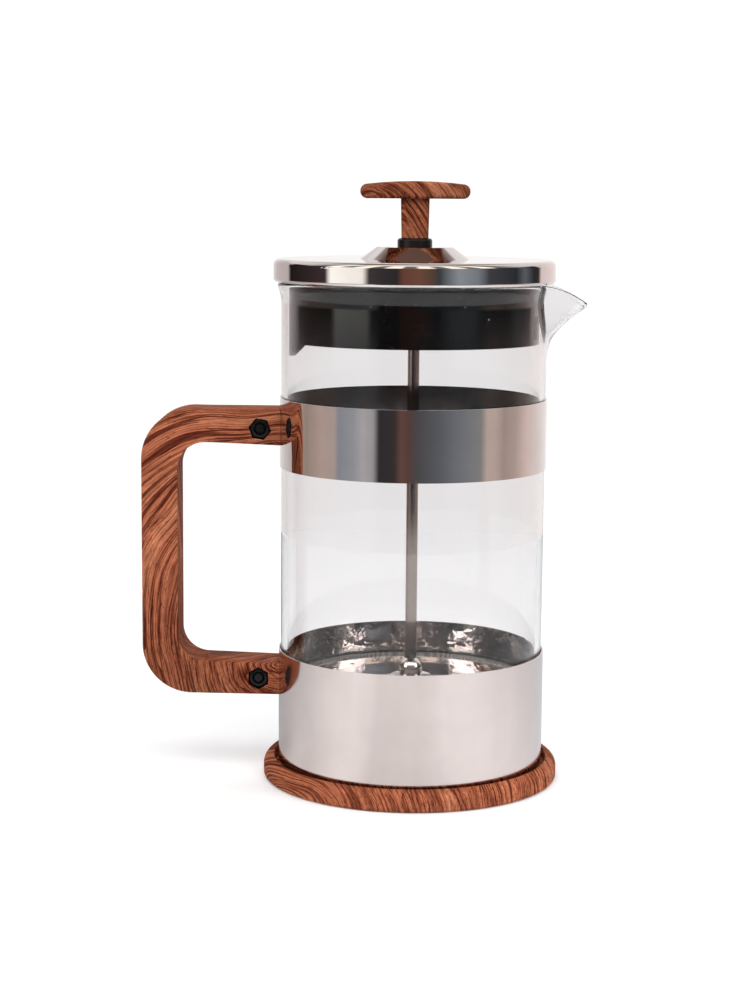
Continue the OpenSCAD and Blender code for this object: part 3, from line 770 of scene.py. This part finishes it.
def build_nut(name, x, z, turn):
    """Hexagon nut: its corners chamfered and its hole countersunk on the outer face."""
    face = -HANDLE_W / 2 + NUT_SINK
    nut = make_object(name, along_y(NUT_CORNER_R, 6, x, z, face, face + NUT_T, turn), BLACK_METAL)
    chamfer = lathe([(NUT_FACE_R, face - 0.1), (4.6, face + 0.95), (8, face + 0.95), (8, face - 3)], 64)
    sink = lathe([(0, face - 0.5), (NUT_FACE_R, face - 0.5), (1.9, face + 0.55), (0, face + 0.55)],
                 48, closed=False)
    for tool in (chamfer, sink):
        turn_to_y(tool, x, z)
    hole = along_y(NUT_HOLE_R, 40, x, z, face - 1, face + NUT_T + 1)
    cut(nut, [chamfer, sink, hole])
    return nut


def turn_to_y(bm, x, z):
    """Turns a piece made about Z to lie about a line along Y at (x, z)."""
    bmesh.ops.rotate(bm, cent=(0, 0, 0), matrix=Matrix.Rotation(math.radians(-90), 3, "X"),
                     verts=bm.verts)
    bmesh.ops.translate(bm, vec=(x, 0, z), verts=bm.verts)


def build_bolt(name, x, z):
    """Button-head bolt: threaded shank towards -Y, hexagon socket in the head."""
    start = -HANDLE_W / 2 + BOLT_SINK
    outline = [(0, start), (1.45, start), (1.75, start + 0.3)]
    y = start + 0.5
    while y < start + BOLT_THREAD_LENGTH:
        outline += [(THREAD_ROOT_R, y), (BOLT_R, y + THREAD_PITCH / 2)]
        y += THREAD_PITCH
    edge_y = BOLT_HEAD_Y + BOLT_HEAD_EDGE_H
    outline += [(BOLT_R, y), (BOLT_R, BOLT_HEAD_Y), (BOLT_HEAD_R, BOLT_HEAD_Y), (BOLT_HEAD_R, edge_y)]
    outline += arc(BOLT_HEAD_R - BOLT_DOME_R, edge_y, BOLT_DOME_R, 0, 90, 8)
    outline += [(0, edge_y + BOLT_DOME_R)]
    bm = lathe(outline, 48, closed=False)
    turn_to_y(bm, x, z)
    bolt = make_object(name, bm, BLACK_METAL)
    cut(bolt, [along_y(SOCKET_R, 6, x, z, edge_y + 0.1, edge_y + 3.2)])
    return bolt


put(build_handle(), "jug", "wood_print", "handle")
for label, (bolt_x, bolt_z, nut_turn) in (("upper", UPPER_BOLT), ("lower", LOWER_BOLT)):
    put(build_nut(f"{label}_nut", bolt_x, bolt_z, nut_turn), "jug", "black_fastener", "handle_nuts")
    put(build_bolt(f"{label}_bolt", bolt_x, bolt_z), "jug", "black_fastener", "handle_bolts")


# ---------------------------------------------------------------------------
# Knob
# ---------------------------------------------------------------------------
def bar_section(x):
    """Half depth, underside and top of the bar at x."""
    half = BAR_W / 2
    flat = half - BAR_T / 2
    plan_flat = half - BAR_PLAN_R
    past = max(0.0, abs(x) - plan_flat)
    depth = BAR_DEPTH / 2 - BAR_PLAN_R + math.sqrt(max(0.0, BAR_PLAN_R ** 2 - past ** 2))
    middle = KNOB_Z + STEM_H + BAR_T / 2
    end = max(0.0, abs(x) - flat)
    thick = math.sqrt(max(0.0, (BAR_T / 2) ** 2 - end ** 2))
    crown = BAR_CROWN * (1 - (x / flat) ** 2) if abs(x) < flat else 0.0
    return depth, middle - thick, middle + thick + crown


def bar_ring(bm, x):
    """Section across the bar at x: a rectangle with rounded corners."""
    depth, low, high = bar_section(x)
    r = min(BAR_EDGE_R, (high - low) / 2 * 0.98, depth)
    points = arc(depth - r, low + r, r, -90, 0, 6) + arc(depth - r, high - r, r, 0, 90, 6)
    points += arc(r - depth, high - r, r, 90, 180, 6) + arc(r - depth, low + r, r, 180, 270, 6)
    return [bm.verts.new((x, y, z)) for y, z in points]


def build_bar(bm):
    """The bar, section by section, closer together in its round ends."""
    flat = BAR_W / 2 - BAR_T / 2
    ends = [flat + BAR_T / 2 * math.sin(math.radians(a)) for a in range(10, 90, 8)]
    middle = [flat * k / 24 for k in range(-24, 25)]
    rings = [bar_ring(bm, x) for x in [-x for x in reversed(ends)] + middle + ends]
    join_rings(bm, rings)
    bm.faces.new(rings[0])
    bm.faces.new(rings[-1][::-1])


def build_stem():
    """Square stem that widens upward; its top runs into the bar. Bored for the insert."""
    bm = bmesh.new()
    top_z = KNOB_Z + STEM_H + 1.0
    sides = [(-1, -1), (1, -1), (1, 1), (-1, 1)]
    low = [bm.verts.new((a * STEM_LOW_W / 2, b * STEM_DEPTH / 2, KNOB_Z)) for a, b in sides]
    top = [bm.verts.new((a * STEM_TOP_W / 2, b * STEM_DEPTH / 2, top_z)) for a, b in sides]
    bm.faces.new(low[::-1])
    bm.faces.new(top)
    for k in range(4):
        n = (k + 1) % 4
        bm.faces.new((low[k], low[n], top[n], top[k]))
    uprights = [e for e in bm.edges if abs(e.verts[0].co.z - e.verts[1].co.z) > 1]
    round_edges(bm, uprights, STEM_EDGE_R, 4)
    stem = make_object("stem", bm, KNOB_WOOD)
    cut(stem, [cylinder(BORE_R, KNOB_Z - 1, KNOB_Z + BORE_DEPTH, 48)])
    return stem


def build_knob():
    """Cross bar and stem in one mesh."""
    stem = build_stem()
    bm = bmesh.new()
    build_bar(bm)
    stem.data.transform(Matrix.Scale(1 / MM, 4))
    bm.from_mesh(stem.data)
    bpy.data.objects.remove(stem)
    return make_object("knob_grip", bm, KNOB_WOOD)


put(build_knob(), "plunger", "wood_print", "knob")


# ---------------------------------------------------------------------------
# Coil spring around the filter's edge
# ---------------------------------------------------------------------------
def build_edge_spring():
    """A closed coil: the wire winds round a ring inside the CAD spring's box."""
    low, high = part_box("edge_spring")
    coil_r = (high.z - low.z) / MM / 2
    ring_r = high.x / MM - coil_r
    mid_z = (high.z + low.z) / MM / 2
    winding_r = coil_r - COIL_WIRE_R
    total = COIL_TURNS * 12
    sides = [2 * math.pi * j / 6 for j in range(6)]

    def centre(k):
        around, wound = 2 * math.pi * k / total, 2 * math.pi * COIL_TURNS * k / total
        r = ring_r + winding_r * math.cos(wound)
        return Vector((r * math.cos(around), r * math.sin(around), mid_z + winding_r * math.sin(wound)))

    bm = bmesh.new()
    rings = []
    for k in range(total):
        middle = centre(k)
        ahead = (centre(k + 1) - centre(k - 1)).normalized()
        around = 2 * math.pi * k / total
        inward = Vector((ring_r * math.cos(around), ring_r * math.sin(around), mid_z)) - middle
        side = (inward - inward.dot(ahead) * ahead).normalized()
        up = ahead.cross(side)
        rings.append([
            bm.verts.new(middle + COIL_WIRE_R * (math.cos(a) * side + math.sin(a) * up))
            for a in sides
        ])
    join_rings(bm, rings, closed=True)
    return make_object("edge_coil", bm, FILTER_STEEL, 80)


put(build_edge_spring(), "plunger", "filter_steel", "edge_spring")


# ---------------------------------------------------------------------------
# Studio: pale floor, white surround with a dark camera side, soft lights
# ---------------------------------------------------------------------------
FLOOR_R = 600.0
FLOOR_TONES = ((0.870, 0.905, 0.940, 1), (0.885, 0.920, 0.955, 1))
FLOOR_GLOW = 0.10                      # of its own beside the press, where it is shaded
FLOOR_GLOW_R = (60.0, 350.0)           # fading out between these distances
SEEN_THROUGH_R = (150.0, 590.0)        # seen through glass the floor darkens with distance,
SEEN_THROUGH = (0.95, 0.885)           # to meet the tone of the surround at its edge
FLOOR_RING = (                         # how pale the floor is in a reflection, by direction
    (-180, (0.25, 0.26, 0.27)), (-152, (0.30, 0.31, 0.33)), (-122, (0.49, 0.48, 0.49)),
    (-95, (0.62, 0.62, 0.61)), (-66, (0.82, 0.82, 0.81)), (-43, (0.98, 0.98, 0.97)),
    (-31, (0.96, 0.96, 0.96)), (-24, (0.83, 0.83, 0.82)), (8, (0.85, 0.85, 0.84)),
    (18, (0.89, 0.89, 0.89)), (25, (1.00, 1.00, 1.00)), (59, (0.90, 0.90, 0.90)),
    (87, (0.81, 0.81, 0.82)), (116, (0.72, 0.72, 0.74)), (146, (0.62, 0.64, 0.67)),
    (180, (0.43, 0.45, 0.47)),
)


def build_floor():
    """Plain pale disc; reflections see it a little darker to some sides."""
    bm = lathe([(0, 0), (FLOOR_R, 0)], 96, closed=False)
    s = Shader("floor_white", Roughness=0.9)
    place = s.place_mm()
    x, y, _ = s.separate(place)
    mottle = s.noise(place, 0.01, 3.0, 0.5)
    tone = s.ramp(mottle, list(zip((0.3, 0.7), FLOOR_TONES)))
    path = s.add("ShaderNodeLightPath").outputs
    far = s.vector_math("LENGTH", place, out="Value")
    through = s.darken(tone, s.spread(far, *SEEN_THROUGH_R, *SEEN_THROUGH))
    tone = s.blend(path["Is Transmission Ray"], tone, through)
    mirrored = s.math("SUBTRACT", path["Is Glossy Ray"], path["Is Transmission Ray"], clamp=True)
    mirror_tone = s.blend(1.0, tone, s.ring(x, y, FLOOR_RING), "MULTIPLY")
    s.set("Base Color", s.blend(mirrored, tone, mirror_tone))
    s.set("Emission Color", (0.97, 1.0, 1.04, 1))
    s.set("Emission Strength", s.spread(far, *FLOOR_GLOW_R, FLOOR_GLOW, 0.0))
    floor = make_object("floor", bm, s.material)
    for face in floor.data.polygons:
        if face.normal.z < 0:
            face.flip()


# What a reflection sees at each angle round from the camera side (0 degrees), to the
# right of the scene (+) and the left (-), in three bands of height under the ceiling
TABLE_RING = (
    (-180, (1.00, 0.99, 0.98)), (-130, (0.62, 0.56, 0.55)), (-104, (0.38, 0.30, 0.26)),
    (-84, (0.55, 0.43, 0.38)), (-70, (0.50, 0.42, 0.40)), (-66, (0.30, 0.32, 0.37)),
    (-52, (0.36, 0.38, 0.42)), (-43, (0.50, 0.49, 0.51)), (-34, (0.42, 0.42, 0.44)),
    (-29, (0.035, 0.035, 0.04)), (-15, (0.05, 0.04, 0.04)), (-10, (0.16, 0.08, 0.07)),
    (-3, (0.12, 0.07, 0.06)), (4, (0.09, 0.09, 0.10)), (22, (0.13, 0.14, 0.16)),
    (40, (0.20, 0.22, 0.25)), (60, (0.28, 0.29, 0.29)), (66, (0.62, 0.50, 0.45)),
    (74, (0.62, 0.50, 0.45)), (84, (0.45, 0.36, 0.33)), (98, (0.55, 0.44, 0.40)),
    (114, (0.82, 0.66, 0.62)), (144, (0.92, 0.86, 0.85)), (180, (1.00, 0.99, 0.98)),
)
ROOM_RING = (
    (-180, (1.00, 0.99, 0.98)), (-150, (0.66, 0.59, 0.59)), (-124, (0.62, 0.54, 0.53)),
    (-120, (0.016, 0.010, 0.012)), (-76, (0.05, 0.035, 0.035)), (-71, (1.35, 1.34, 1.30)),
    (-42, (1.20, 1.17, 1.10)), (-37, (0.06, 0.05, 0.053)), (-14, (0.03, 0.03, 0.033)),
    (-9, (0.17, 0.07, 0.05)), (4, (0.20, 0.09, 0.06)), (16, (0.10, 0.07, 0.06)),
    (20, (0.05, 0.06, 0.07)), (36, (0.33, 0.37, 0.41)), (52, (0.24, 0.28, 0.32)),
    (62, (0.06, 0.065, 0.075)), (90, (0.03, 0.033, 0.04)), (100, (0.13, 0.15, 0.17)),
    (112, (0.03, 0.03, 0.035)), (120, (0.04, 0.035, 0.035)), (124, (0.86, 0.74, 0.72)),
    (150, (0.95, 0.83, 0.81)), (180, (1.00, 0.99, 0.98)),
)
PANEL, GAP = (1.60, 1.48, 1.28), (0.20, 0.18, 0.17)
PANELS = (-74, -46, -18, 10, 38, 66)   # middles of the bright panels overhead, in degrees
UPPER_RING = [(-180, (1.00, 0.99, 0.98)), (-112, (0.80, 0.76, 0.74)), (-90, GAP)]
UPPER_RING += [(middle + side, colour) for middle in PANELS
               for side, colour in ((-9, GAP), (-6, PANEL), (6, PANEL), (9, GAP))]
UPPER_RING += [(84, GAP), (112, (0.84, 0.80, 0.78)), (180, (1.00, 0.99, 0.98))]
CEILING = (0.95, 0.92, 0.90, 1.0)
FLAG = (0.15, 0.085, 0.065, 1.0)       # dark panel overhead, behind the press
TABLE_TO_ROOM = (-0.095, -0.045)       # heights, as the sine of the angle of view,
ROOM_TO_UPPER = (0.38, 0.48)           # between which one band passes into the next
UPPER_TO_CEILING = (0.84, 0.92)
FLAG_FROM = (0.60, 0.68)               # the panel's lower edge, in height,
FLAG_FRONT = (0.03, 0.08)              # its front edge, in depth,
FLAG_SIDES = (0.34, 0.44)              # its sides
FLAG_BACK = (0.38, 0.44)               # and its back edge, which curves away to the sides
FLAG_CURVE = 2.2
WHITE = 1.04
BACKDROP = (0.94, 0.935, 0.935, 1.0)   # the surround as it shows through the glass,
SHEER = 0.72                           # and how far it hides the studio there


def build_surround():
    """White to the camera; reflections see a studio that is darker on the camera side."""
    world = bpy.data.worlds.new("studio")
    bpy.context.scene.world = world
    world.use_nodes = True
    s = Nodes(world.node_tree)
    s.tree.nodes.clear()
    x, y, z = s.separate(s.add("ShaderNodeTexCoord").outputs["Generated"])

    def rise(limits, value=z):
        return s.spread(value, *limits, kind="SMOOTHSTEP")

    room = s.blend(rise(TABLE_TO_ROOM), s.ring(x, y, TABLE_RING), s.ring(x, y, ROOM_RING))
    room = s.blend(rise(ROOM_TO_UPPER), room, s.ring(x, y, UPPER_RING))
    room = s.blend(rise(UPPER_TO_CEILING), room, CEILING)
    curve = s.math("MULTIPLY", s.math("MULTIPLY", x, x), FLAG_CURVE)
    flag = s.math("MULTIPLY", rise(FLAG_FROM), rise(FLAG_FRONT, y))
    for beyond in (rise(FLAG_SIDES, s.math("ABSOLUTE", x)),
                   rise(FLAG_BACK, s.math("SUBTRACT", y, curve))):
        flag = s.math("MULTIPLY", flag, s.math("SUBTRACT", 1.0, beyond))
    room = s.blend(flag, room, FLAG)

    # Rays that came straight through the glass see a paler room than reflections do
    path = s.add("ShaderNodeLightPath").outputs
    bounces = s.math("ADD", path["Glossy Depth"], path["Diffuse Depth"])
    straight = s.math("LESS_THAN", bounces, 0.5)
    room = s.blend(s.math("MULTIPLY", straight, SHEER), room, BACKDROP)
    studio = s.add("ShaderNodeBackground", {"Color": room, "Strength": 1.0})
    white = s.add("ShaderNodeBackground", {"Color": (WHITE, WHITE, WHITE, 1), "Strength": 1.0})
    mix = s.add("ShaderNodeMixShader", {0: path["Is Camera Ray"], 1: studio.outputs[0],
                                        2: white.outputs[0]})
    output = s.add("ShaderNodeOutputWorld")
    s.tree.links.new(mix.outputs[0], output.inputs["Surface"])


WARM = (1.0, 0.985, 0.96)
LIGHTS = (                             # name, place, aim, size in metres, watts, colour
    ("front_softbox", (0.0, -0.85, 1.15), (0, 0, 0.08), (1.2, 0.5), 7.8, (1, 1, 1)),
    ("left_softbox", (-1.0, -0.75, 0.75), (0, 0, 0.12), (0.6, 0.9), 4.0, WARM),
    ("right_softbox", (1.05, -0.55, 0.7), (0, 0, 0.12), (0.6, 0.9), 4.0, WARM),
    ("back_softbox", (0.0, 0.9, 1.2), (0, 0.2, 0.0), (1.4, 0.7), 6.0, (1, 1, 1)),
)


def add_light(name, place, aim, size, power, colour):
    """A soft light that reflections do not see; they see the surround instead."""
    data = bpy.data.lights.new(name, "AREA")
    data.shape = "RECTANGLE"
    data.size, data.size_y = size
    data.energy = power
    data.color = colour
    light = bpy.data.objects.new(name, data)
    light.location = place
    light.visible_glossy = False
    light.rotation_mode = "QUATERNION"
    light.rotation_quaternion = (Vector(aim) - Vector(place)).to_track_quat("-Z", "Y")
    bpy.context.scene.collection.objects.link(light)


build_floor()
build_surround()
for light_settings in LIGHTS:
    add_light(*light_settings)


CAMERA_PLACE = (0.0, -0.7992, 0.2224)
CAMERA_PITCH, CAMERA_YAW, CAMERA_ROLL = 8.22, -1.02, 0.45   # in degrees
CAMERA_LENS, CAMERA_SENSOR = 76.0, 36.0


def build_camera():
    """Camera just above the lid's height, 0.8 m away, looking slightly down."""
    pitch, yaw, roll = (math.radians(a) for a in (CAMERA_PITCH, CAMERA_YAW, CAMERA_ROLL))
    forward = Vector((math.sin(yaw) * math.cos(pitch), math.cos(yaw) * math.cos(pitch),
                      -math.sin(pitch)))
    right = Vector((math.cos(yaw), -math.sin(yaw), 0))
    up = right.cross(forward)
    right, up = (math.cos(roll) * right + math.sin(roll) * up,
                 math.cos(roll) * up - math.sin(roll) * right)
    data = bpy.data.cameras.new("camera")
    data.lens, data.sensor_width = CAMERA_LENS, CAMERA_SENSOR
    data.clip_start, data.clip_end = 0.01, 20.0
    camera = bpy.data.objects.new("camera", data)
    turned = Matrix((right, up, -forward)).transposed().to_4x4()
    camera.matrix_world = Matrix.Translation(CAMERA_PLACE) @ turned
    bpy.context.scene.collection.objects.link(camera)
    bpy.context.scene.camera = camera


build_camera()
bpy.context.scene.view_settings.view_transform = "Standard"

bpy.context.view_layer.update()
